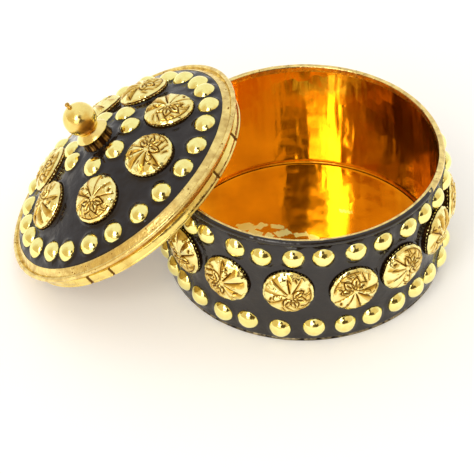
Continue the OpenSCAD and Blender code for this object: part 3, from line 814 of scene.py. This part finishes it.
cut = (from_cut < 0.55) & (spots[:, 2] < -4.8) & (np.hypot(spots[:, 0], spots[:, 1]) > SKIRT_R - 0.9)
push(skirt, np.where(cut, 1, 0), -0.45)
mark_dirt_shade_and_glints(skirt, np.where(cut, 1.0, 0.0))
tint_dirt_shade_and_glints(skirt_brass, (0.16, 0.07, 0.01))
dent(skirt, 10, 0.2, 19)
smooth(lay(skirt), 60)
neck_shade = finish_of("neck_shade", (0.70, 0.36, 0.07), (0.22, 0.09, 0.02), stain_amount=0.7,
                       stain_size=90, roughness=0.28, rubbing=0.2, pits=0.6, dents=0.7, bump=0.0006)
paint(skirt, skirt_brass, neck_shade)
fit(skirt, "lid", "brass", "lid_skirt")

# ---------------------------------------------------------------------------
# Lac of the lid: poured on the sheet inside the brass edge and smoothed by hand to a low cone
# with a rounded top. It climbs on the studs, the medallions and the finial's cup.
outer_ring = [[5.5 + 14.4 * k, 61.4] for k in range(25)]
for k, turn, inward in ((0, 1.3, 0.8), (1, 1.4, 0.2), (2, -2.2, 0), (3, -2.3, -1.4), (4, -4.0, -2.0),
                        (5, -1, -1), (11, -3.1, 1.2), (12, -1.4, -1.8), (13, -1.9, -0.9), (14, -2.9, -0.9),
                        (15, -3.9, -0.1), (16, -3.1, -0.9), (17, -4.7, -0.8), (18, -3.7, -1.2),
                        (19, -3.0, -0.8), (20, -1.0, -0.9), (21, -0.3, -1.0), (22, 1.6, 0),
                        (23, 1.3, 0.1), (24, 1.9, 0)):
    outer_ring[k] = [outer_ring[k][0] + turn, outer_ring[k][1] + inward]
medal_ring = [(10.2, 42.1), (61.5, 43.2), (102, 41.5), (162.5, 40.2), (207.5, 40.6), (270, 38.4), (324, 40.2)]
inner_ring = [(6.7, 21.4), (45.6, 22.8), (88, 21.5), (120, 21.5), (152, 22.0), (191, 16.8), (267, 17.3),
              (316.8, 18.3)]


def on_crown(turn, r, sunk):
    """A place on the leaning lid's crown, sunk in the lac by some mm."""
    return (LAID @ Matrix.Rotation(radians(turn), 4, "Z") @ Matrix.Translation((r * MM, 0, crown_z(r) * MM))
            @ Matrix.Rotation(crown_tilt(r), 4, "Y") @ Matrix.Translation((0, 0, -sunk * MM)))


def flat_place(turn, r):
    return r * cos(radians(turn)), r * sin(radians(turn))


FINIAL_R = 9.0
finial_at = asin(2.5 / CROWN_ROUND)
finial_turn = radians(38)
ring_step = 0.56
lac_rings = int(LID_LAC_R / ring_step)
lid_lac = turned("lid_lac", [(LID_LAC_R - 0.02, 0.4)]
                 + [(r, crown_z(r) - (0.25 if r > LID_LAC_R - 0.2 else 0))

                    for r in (LID_LAC_R - 0.02 - k * (LID_LAC_R - 0.02) / lac_rings for k in range(lac_rings))]
                 + [(0, crown_z(0))], 620, closed=False)
spots = points_of(lid_lac)
marks = [(*flat_place(t, r), STUD_R * 0.97) for t, r in outer_ring]
marks += [(*flat_place(t, r), STUD_R * 0.99) for t, r in inner_ring]
marks += [(*flat_place(t, r), MEDAL_R * 0.985) for t, r in medal_ring]
marks += [(*flat_place(38, 2.5), FINIAL_R)]
edge = nearest_edge(spots[:, 0], spots[:, 1], marks)
top = spots[:, 2] > 1.0
push(lid_lac, np.where(top, climb(edge), 0), 0.95)
dent(lid_lac, 6, 0.25, 23)
smooth(lay(lid_lac), 75)
lid_black_lac = finish_of("lid_black_lac", (0.010, 0.006, 0.005), (0.020, 0.015, 0.013), stain_amount=0.4,
                          stain_size=150, roughness=0.05, rubbing=0.12, dents=0.6, dent_size=200,
                          metallic=0.0, bump=0.0004, ior=1.40)
paint(lid_lac, lid_black_lac)
fit(lid_lac, "lid", "black_lac", "lid_lac")

row_of("lid_studs_outer_ring", stud_shape,
       [on_crown(t, r, 1) @ unlike(i + 150) for i, (t, r) in enumerate(outer_ring)],
       "lid", "pale_brass", "lid_studs_outer", stud_brass)
row_of("lid_studs_inner_ring", stud_shape,
       [on_crown(t, r, 1.2) @ unlike(i + 190) for i, (t, r) in enumerate(inner_ring)],
       "lid", "pale_brass", "lid_studs_inner", stud_brass)
# The lid's medallion necks are painted mid brown, a lighter painted shade under the face
lid_neck_painted_shade = finish_of("lid_neck_painted_shade", (0.50, 0.27, 0.06), (0.12, 0.05, 0.012), stain_amount=0.8, stain_size=300,
                      roughness=0.2, rubbing=0.2, dents=0.3, bump=0.0004)
for i, (turn, r) in enumerate(medal_ring):
    spin = Matrix.Rotation(radians((101, 116, 217, 318, 59, 160, 261)[i]), 4, "Z")
    place_medallion(f"lid_medallion_struck_{i + 1}", medal_shape,
                    on_crown(turn, r, 1.5) @ unlike(i + 230, 2.0, 0.15) @ spin,
                    "lid", f"lid_medallion_{i + 1}", lid_neck_painted_shade)
bpy.data.objects.remove(bpy.data.objects["stud"])
bpy.data.objects.remove(bpy.data.objects["medallion"])

# ---------------------------------------------------------------------------
# Finial: cup, collar, ball and pip, each turned from brass bar and held down by one stem that
# is peened under the lid. It stands a little off the lid's middle.
SET_OFF = (LAID @ Matrix.Translation((0, 0, ROUND_Z * MM)) @ Matrix.Rotation(finial_turn, 4, "Z")
           @ Matrix.Rotation(finial_at, 4, "Y") @ Matrix.Translation((0, 0, -ROUND_Z * MM)))
CROWN = crown_z(0)
CUP_TOP = CROWN + 5.8
COLLAR_R, COLLAR_TOP = 9.7, CUP_TOP + 3.7
BALL_R = 9.1
BALL_Z = COLLAR_TOP + sqrt((BALL_R + 0.05) ** 2 - 5.5 ** 2)
cup_brass = finish_of("cup_brass", (0.42, 0.22, 0.05), (0.05, 0.020, 0.008), stain_amount=0.95,
                      stain_size=150, roughness=0.22, rubbing=0.12, dents=0.8, dent_size=300, bump=0.0006)
turned_brass = finish_of("turned_brass", (0.95, 0.77, 0.28), (0.60, 0.34, 0.06), stain_amount=0.45,
                         stain_size=130, roughness=0.10, rubbing=0.10, pits=0.2, dents=0.3, dent_size=300,
                         bump=0.0004)


def stand(piece):
    piece.data.transform(SET_OFF)
    return piece


cup = turned("finial_cup_turned", [
    (0.0, CROWN - 0.4), (FINIAL_R, crown_z(FINIAL_R) + 0.05), (FINIAL_R, CROWN + 0.6),
    (FINIAL_R - 0.35, CROWN + 1.6), (FINIAL_R - 0.45, CROWN + 3.4), (FINIAL_R - 0.2, CUP_TOP - 0.5),
    (FINIAL_R, CUP_TOP), (0.0, CUP_TOP)], 96, closed=False)
# Upright dark streaks painted all round the cup
spots = points_of(cup)
spokes = np.degrees(np.arctan2(spots[:, 1], spots[:, 0]))
wide_streaks, thin_streaks = np.sin(np.radians(spokes * 11)), np.sin(np.radians(spokes * 29 + 40))
streaks = np.clip(0.45 + 0.4 * wide_streaks + 0.35 * thin_streaks, 0, 1)
mark_dirt_shade_and_glints(cup, np.where(spots[:, 2] < CUP_TOP - 0.3, streaks * 0.9, 0.2))
tint_dirt_shade_and_glints(cup_brass, (0.030, 0.011, 0.004))
smooth(stand(cup), 35)
paint(cup, cup_brass)
fit(cup, "lid", "brass", "finial_cup")
collar = turned("finial_collar_turned", [
    (0, CUP_TOP), (COLLAR_R - 0.15, CUP_TOP), (COLLAR_R, CUP_TOP + 0.18), (COLLAR_R, CUP_TOP + 0.48),
    (COLLAR_R - 0.2, CUP_TOP + 0.75), (8.4, CUP_TOP + 1.9), (7.1, CUP_TOP + 2.95), (6.5, CUP_TOP + 3.5),
    (6.1, COLLAR_TOP), (5.55, COLLAR_TOP + 0.02), (5.3, COLLAR_TOP - 0.2), (0, COLLAR_TOP - 0.9)], 96,
    closed=False)
smooth(stand(collar), 35)
paint(collar, turned_brass)
fit(collar, "lid", "pale_brass", "finial_collar")
ball = turned("finial_ball_turned", arc(0, BALL_Z, BALL_R - 0.01, -90, 90, 40), 96, closed=False)
# The side toward the lid's low edge is painted brown, a painted dark reflection
smooth(stand(ball), 60)
BALL_MID = SET_OFF @ Vector((0, 0, BALL_Z * MM))
DARK_REFLECTION_SIDE = Vector((0.56, -0.82, -0.02)).normalized()
facing = (points_of(ball) - np.array(BALL_MID) / MM) / BALL_R @ np.array(DARK_REFLECTION_SIDE)
edge_of_painted_dark, middle_of_painted_dark = np.clip((facing - 0.76) / 0.14, 0, 1), np.clip((facing - 0.8) / 0.2, 0, 1)
mark_dirt_shade_and_glints(ball, edge_of_painted_dark * (0.55 + 0.4 * middle_of_painted_dark))
ball_brass = finish_of("ball_brass", (0.94, 0.76, 0.25), (0.62, 0.36, 0.06), stain_amount=0.5, stain_size=120,
                       roughness=0.10, rubbing=0.10, pits=0.3, dents=0.3, dent_size=300, bump=0.0004)
tint_dirt_shade_and_glints(ball_brass, (0.24, 0.085, 0.012), (0.66, 0.34, 0.045))
paint(ball, ball_brass)
fit(ball, "finial_ball", "pale_brass", "finial_ball")
pip_foot = BALL_Z + BALL_R
pip = turned("finial_pip_turned", [
    (0, pip_foot + 0.06), (1.35, pip_foot + 0.04), (1.4, pip_foot + 0.3), (1.0, pip_foot + 0.6),
    (0.95, pip_foot + 1.0), (1.25, pip_foot + 1.4), (1.4, pip_foot + 2.0), (1.2, pip_foot + 2.6),
    (0.7, pip_foot + 2.95), (0, pip_foot + 3.0)], 32, closed=False)
smooth(stand(pip), 50)
pip_brass = finish_of("pip_brass", (0.62, 0.38, 0.08), (0.15, 0.06, 0.015), stain_amount=0.7,
                      stain_size=260, roughness=0.15, dents=0.3)
paint(pip, pip_brass)
fit(pip, "lid", "brass", "finial_pip")
for name in ("finial_stem", "finial_washer"):
    paint(frame["nodes"][name], lid_brass)

# ---------------------------------------------------------------------------
# Table, walls of the tent, lamps and camera.
deselect()
bpy.ops.mesh.primitive_plane_add(size=6, location=(0, 0, -0.00005))
table = bpy.context.object
table.name = "table_top"
white = bpy.data.materials.new("white_table")
white.use_nodes = True
tree = white.node_tree
tree.nodes.clear()
paths = tree.nodes.new("ShaderNodeLightPath")
plain = add_node(tree, "ShaderNodeBsdfDiffuse", in_0=(0.84, 0.84, 0.84, 1))
in_mirror = add_node(tree, "ShaderNodeMath", operation="MULTIPLY", in_0=paths.outputs["Is Glossy Ray"],
                     in_1=0.35).outputs[0]
seen = add_node(tree, "ShaderNodeMath", operation="MULTIPLY_ADD", in_0=paths.outputs["Is Camera Ray"],
                in_1=0.22, in_2=in_mirror).outputs[0]
glow = add_node(tree, "ShaderNodeEmission", in_0=(1, 1, 1, 1), in_1=seen)
both = add_node(tree, "ShaderNodeAddShader", in_0=plain.outputs[0], in_1=glow.outputs[0])
end = tree.nodes.new("ShaderNodeOutputMaterial")
tree.links.new(both.outputs[0], end.inputs["Surface"])
paint(table, white)

# The room: white behind the table and overhead, dimmer and a little warm in front
world = bpy.data.worlds.new("room")
bpy.context.scene.world = world
world.use_nodes = True
tree = world.node_tree
tree.nodes.clear()
paths = tree.nodes.new("ShaderNodeLightPath")
facing = add_node(tree, "ShaderNodeSeparateXYZ",
                  in_0=add_node(tree, "ShaderNodeTexCoord").outputs["Generated"]).outputs
behind = add_node(tree, "ShaderNodeMapRange", in_0=facing["Y"], in_1=-0.15, in_2=0.35).outputs[0]
above = add_node(tree, "ShaderNodeMapRange", in_0=facing["Z"], in_1=0.72, in_2=0.92, in_4=0.9).outputs[0]
white_part = add_node(tree, "ShaderNodeMath", operation="MAXIMUM", in_0=behind, in_1=above).outputs[0]
right_part = add_node(tree, "ShaderNodeMapRange", in_0=facing["X"], in_1=-0.3, in_2=0.5).outputs[0]
front_room = add_node(tree, "ShaderNodeMix", data_type="RGBA", in_0=right_part, in_6=(0.80, 0.62, 0.36, 1),
                      in_7=(0.84, 0.67, 0.42, 1)).outputs[2]
room = add_node(tree, "ShaderNodeMix", data_type="RGBA", in_0=white_part, in_6=front_room,
                in_7=(1, 1, 1, 1)).outputs[2]
soft = add_node(tree, "ShaderNodeBackground", in_0=room, in_1=1.0)
bright = add_node(tree, "ShaderNodeBackground", in_0=(1, 1, 1, 1), in_1=1.0)
mixed = add_node(tree, "ShaderNodeMixShader", in_0=paths.outputs["Is Camera Ray"], in_1=soft.outputs[0],
                 in_2=bright.outputs[0])
end = tree.nodes.new("ShaderNodeOutputWorld")
tree.links.new(mixed.outputs[0], end.inputs["Surface"])


def toward(turn, rise, far):
    """A place in the room at a turn round the box and a rise above the table, in degrees."""
    return Vector((cos(radians(turn)) * cos(radians(rise)), sin(radians(turn)) * cos(radians(rise)),
                   sin(radians(rise)))) * far


def lamp(name, turn, rise, far, size, brightness, color=(1, 1, 1)):
    """A soft panel that looks at the box; brightness 1 is as bright as white paper."""
    light = bpy.data.lights.new(name, "AREA")
    light.shape = "RECTANGLE"
    light.size, light.size_y = size
    light.energy = brightness * pi * size[0] * size[1]
    light.color = color
    holder = bpy.data.objects.new(name, light)
    bpy.context.collection.objects.link(holder)
    holder.location = toward(turn, rise, far)
    holder.rotation_euler = (Vector((0, 0, 0.04)) - holder.location).to_track_quat("-Z", "Y").to_euler()
    return holder


LAMP_FAR, CLOTH_FAR = 8.0, 7.5
lamp("window_by_the_camera", -114, 44, LAMP_FAR, (2.2, 4.0), 6.0)
lamp("window_beside_it", -96, 34.5, LAMP_FAR, (1.9, 1.3), 3.2)
lamp("window_low", -106, 18, LAMP_FAR, (3.4, 3.0), 1.8)

# Dark cloths beside the camera, seen only in the metal
black = bpy.data.materials.new("black_cloth")
black.use_nodes = True
tree = black.node_tree
tree.nodes.clear()
cloth = add_node(tree, "ShaderNodeEmission", in_0=(0.10, 0.065, 0.03, 1), in_1=1.0)
end = tree.nodes.new("ShaderNodeOutputMaterial")
tree.links.new(cloth.outputs[0], end.inputs["Surface"])
for name, left, right, low, high in (("cloth_low", -93, -44, 3, 30), ("cloth_middle", -88, -65, 30, 38.1),
                                     ("cloth_high", -105, -68, 40.4, 62)):
    deselect()
    bpy.ops.mesh.primitive_grid_add(x_subdivisions=16, y_subdivisions=6, size=1)
    screen = bpy.context.object
    screen.name = name
    for vertex in screen.data.vertices:
        vertex.co = toward(left + (right - left) * (vertex.co.x + 0.5),
                           low + (high - low) * (vertex.co.y + 0.5), CLOTH_FAR)
    paint(screen, black)
    screen.visible_camera = False
    screen.visible_diffuse = False
    screen.visible_shadow = False

lens = bpy.data.cameras.new("camera")
lens.lens = 265.82
lens.sensor_width = 36
eye = bpy.data.objects.new("camera", lens)
bpy.context.collection.objects.link(eye)
eye.location = (0.09631, -1.42778, 1.25311)
eye.rotation_euler = (radians(48.996), radians(1.0802), radians(4.3839))
bpy.context.scene.camera = eye
bpy.context.scene.view_settings.view_transform = "Standard"
